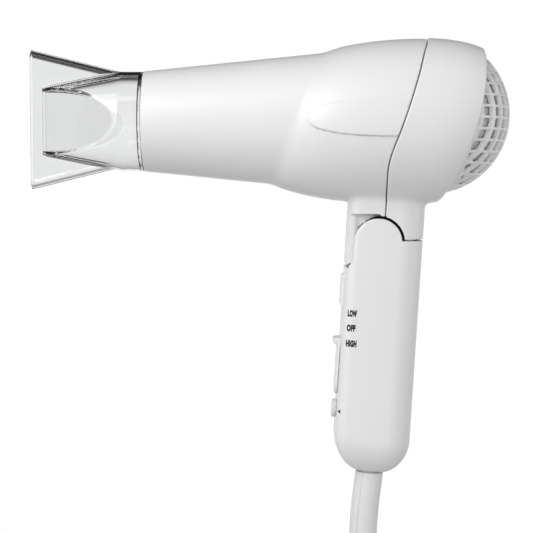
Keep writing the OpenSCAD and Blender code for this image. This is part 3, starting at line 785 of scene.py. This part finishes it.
CARRIED = {
    "outlet_grille": inner_white, "heat_shield": mica, "mica_frame": mica, "heater_coil": nichrome,
    "thermostat": steel, "thermal_fuse": fuse_tan, "fan_duct": inner_white, "motor_sleeve": rubber,
    "motor_can": steel, "motor_end_cap": black, "rectifier_board": board, "fan_rotor": inner_white,
    "motor_shaft": steel, "head_wiring": wire_red, "neck_screw": steel, "hinge_axle": steel,
    "hinge_washer_left": rubber, "hinge_washer_right": rubber, "detent_block": inner_white,
    "detent_spring": steel, "handle_screws": steel, "slide_carrier": inner_white,
    "power_switch": black, "selector_switch": black, "handle_wiring": black,
    "cord_clamp": inner_white, "cord_lead": cord_white, "cord_hank": cord_white,
    "cord_tie": strap, "plug_body": white, "plug_cover": white, "plug_blades": brass,
    "test_button": black, "reset_button": red,
}
for node, mat in CARRIED.items():
    paint(frame["nodes"][node], mat)
paint(cord, cord_white)

# ---------------------------------------------------------------- visible pieces

COARSE = 1.0
SOLIDS = [
    ("front_shell", front_shell, 0.75, white),
    ("rear_shell", rear_shell, 0.5, white),
    ("rear_grille", rear_grille, 0.5, white),
    ("nozzle", nozzle, 0.5, glass),
    ("handle_left_shell", left_shell, 0.6, white),
    ("handle_right_shell", right_shell, 0.6, white),
    ("slide_button", slide_button, 0.25, white),
    ("voltage_knob", voltage_knob, 0.2, inner_white),
    ("strain_relief", strain_relief, 0.4, cord_white),
]
for node, field, cell, mat in SOLIDS:
    skin = solid(node + "_skin", field, node, cell * COARSE)
    show(skin, node)
    paint(skin, mat)

screen_piece = solid("lint_filter", lint_filter, "rear_grille", 0.45 * COARSE)
beside(screen_piece, "rear_grille")
paint(screen_piece, mesh_white)
# Black strips in the hinge gap: painted shadow where the gap is deep.
gap_shadow_strips = solid_in("hinge_gap_painted_shadow", hinge_gap_painted_shadow, (-9, -16, PIVOT_Z), (14, 16, PIVOT_Z + 14), 0.25)
beside(gap_shadow_strips, "front_shell")
paint(gap_shadow_strips, shadow_gap)

tie_low, tie_high = (np.array(corner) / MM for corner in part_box("cord_tie"))
held = route / MM
held = held[(held[:, 2] > tie_low[2] - 2) & (held[:, 2] < tie_high[2] + 2)]
held_low, held_high = held.min(axis=0), held.max(axis=0)


def cord_tie(x, y, z):
    """A strap drawn close round the strands of the hank."""
    mid = (held_low + held_high) / 2
    half = (held_high - held_low) / 2
    out = [np.maximum(np.abs(at - mid[i]) - half[i], 0) for i, at in enumerate((x, y))]
    band = np.abs(np.hypot(*out) - CORD_R - 0.9) - 0.7
    tall = np.abs(z - (tie_low[2] + tie_high[2]) / 2) - (tie_high[2] - tie_low[2]) / 2
    return smax(band, tall, 0.4)


tie = solid_in(
    "cord_tie_skin", cord_tie,
    (held_low[0] - 6, held_low[1] - 6, tie_low[2] - 1),
    (held_high[0] + 6, held_high[1] + 6, tie_high[2] + 1),
    0.5,
)
show(tie, "cord_tie")
paint(tie, strap)

# ---------------------------------------------------------------- labels


def side_of_grip(xh):
    """How far the grip's near side stands out at xh."""
    corner = np.minimum(np.abs(xh + GRIP_HW - FRONT_R), FRONT_R)
    rounded = GRIP_HT - FRONT_R + np.sqrt(FRONT_R**2 - corner**2)
    return np.where(xh < FRONT_R - GRIP_HW, rounded, GRIP_HT) - side_crown(xh)


def finer(points, faces):
    """Each triangle as four."""
    a, b, c = (points[faces[:, i]] for i in range(3))
    n = len(faces)
    corners = np.concatenate([a, b, c, (a + b) / 2, (b + c) / 2, (c + a) / 2])
    i = np.arange(n)
    rows = [(0, 3, 5), (3, 1, 4), (5, 4, 2), (3, 4, 5)]
    return corners, np.concatenate([np.stack([i + n * k for k in row], axis=1) for row in rows])


def print_on_grip(name, flat, faces):
    """Ink on the near side, from points (x, z) in the handle's own axes."""
    for _ in range(3):
        flat, faces = finer(flat, faces)
    xh, zh = flat[:, 0], flat[:, 1]
    x = xh * math.cos(TILT) + zh * math.sin(TILT)
    z = -xh * math.sin(TILT) + zh * math.cos(TILT)
    y = -side_of_grip(xh) - 0.06
    obj = new_mesh(name, np.stack([x, y, z], axis=1) * MM, faces)
    paint(obj, ink)
    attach(obj, frame["nodes"]["handle_left_shell"]["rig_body"])


def word(text, left, width, middle, height):
    """A condensed word."""
    curve = bpy.data.curves.new("word", "FONT")
    curve.body = text
    curve.size = height / 0.69
    curve.align_y = "CENTER"
    curve.offset = 0.11 * height
    curve.space_character = 1.12
    flat = bpy.data.objects.new("word", curve)
    mesh = bpy.data.meshes.new_from_object(flat)
    mesh.calc_loop_triangles()
    points = np.array([v.co[:2] for v in mesh.vertices])
    points[:, 0] = left + (points[:, 0] - points[:, 0].min()) * width / np.ptp(points[:, 0])
    points[:, 1] += middle
    faces = np.array([t.vertices for t in mesh.loop_triangles])
    bpy.data.objects.remove(flat)
    print_on_grip("label_" + text.lower(), points, faces)


for text, width, middle in (("LOW", 4.3, 31.2), ("OFF", 4.0, 24.4), ("HIGH", 4.9, 17.2)):
    word(text, -15.9, width, middle, 2.6)
print_on_grip(
    "selector_mark",
    np.array([[-17.6, -15.0], [-16.4, -16.0], [-16.4, -14.0]]),
    np.array([[0, 1, 2]]),
)

# ---------------------------------------------------------------- plug

for node in ("plug_body", "plug_cover"):
    bevel = frame["nodes"][node].modifiers.new("bevel", "BEVEL")
    bevel.width = 1.6 * MM
    bevel.segments = 3
    bevel.limit_method = "ANGLE"
    bevel.angle_limit = math.radians(50)

# ---------------------------------------------------------------- floor and light

FLOOR_Z = -0.36
FLOOR_R = 0.95
FLOOR_SIDES = 96
turn = np.linspace(0, 2 * math.pi, FLOOR_SIDES, endpoint=False)
rim = np.stack([FLOOR_R * np.cos(turn), FLOOR_R * np.sin(turn), np.full_like(turn, FLOOR_Z)], axis=1)
wedges = np.array([[k, (k + 1) % FLOOR_SIDES, FLOOR_SIDES] for k in range(FLOOR_SIDES)])
floor = new_mesh("floor", np.vstack([rim, [[0, 0, FLOOR_Z]]]), wedges)
paint(floor, plastic("floor_white", (0.8, 0.8, 0.8), 0.6))

AMBIENT = 0.6
world = bpy.data.worlds.new("world")
bpy.context.scene.world = world
world.use_nodes = True
sky = world.node_tree
direction = sky.nodes.new("ShaderNodeTexCoord")
split = sky.nodes.new("ShaderNodeSeparateXYZ")


def change(source, low, high, to_low, to_high):
    """A smooth change from one level to another as source passes from low to high."""
    made = sky.nodes.new("ShaderNodeMapRange")
    made.interpolation_type = "SMOOTHSTEP"
    limits = {"From Min": low, "From Max": high, "To Min": to_low, "To Max": to_high}
    for socket, value in limits.items():
        made.inputs[socket].default_value = value
    sky.links.new(source, made.inputs["Value"])
    return made.outputs["Result"]


def combine(operation, a, b):
    """One arithmetic step on the world's levels."""
    made = sky.nodes.new("ShaderNodeMath")
    made.operation = operation
    sky.links.new(a, made.inputs[0])
    sky.links.new(b, made.inputs[1])
    return made.outputs["Value"]


sky.links.new(direction.outputs["Generated"], split.inputs["Vector"])
screen = change(split.outputs["Y"], 0.72, 0.92, AMBIENT, 1.02)
above = change(split.outputs["Z"], 0.13, 0.24, 0.0, 1.0)
far = change(split.outputs["Y"], -0.05, 0.2, 0.0, 1.0)
flag = combine("MULTIPLY", above, far)
lit = change(flag, 0.0, 1.0, 1.0, 0.02)
sky.links.new(combine("MULTIPLY", screen, lit), sky.nodes["Background"].inputs["Strength"])
sky.nodes["Background"].inputs["Color"].default_value = (1, 1, 1, 1)

SUBJECT = (-0.03, 0.0, 0.06)
SOFTBOXES = [
    ("front_left", (-0.8, -0.9, 0.3), (0.8, 0.8), 1.75),
    ("high_left", (-0.5, -0.55, 0.75), (0.6, 0.6), 1.68),
    ("near_left", (-0.45, -0.5, 0.45), (0.4, 0.4), 1.7),
    ("right", (1.1, 0.0, 0.2), (0.7, 0.7), 1.7),
    ("low", (0.0, -0.9, -0.3), (0.9, 0.5), 0.55),
]


def softbox(name, place, size, power):
    lamp = bpy.data.lights.new(name, "AREA")
    lamp.shape = "RECTANGLE"
    lamp.size, lamp.size_y = size
    lamp.energy = power
    obj = bpy.data.objects.new(name, lamp)
    obj.location = place
    obj.rotation_euler = (Vector(SUBJECT) - Vector(place)).to_track_quat("-Z", "Y").to_euler()
    bpy.context.scene.collection.objects.link(obj)


for name, place, size, power in SOFTBOXES:
    softbox(name, place, size, power)

bpy.context.scene.view_settings.view_transform = "Standard"
bpy.context.scene.view_settings.look = "None"
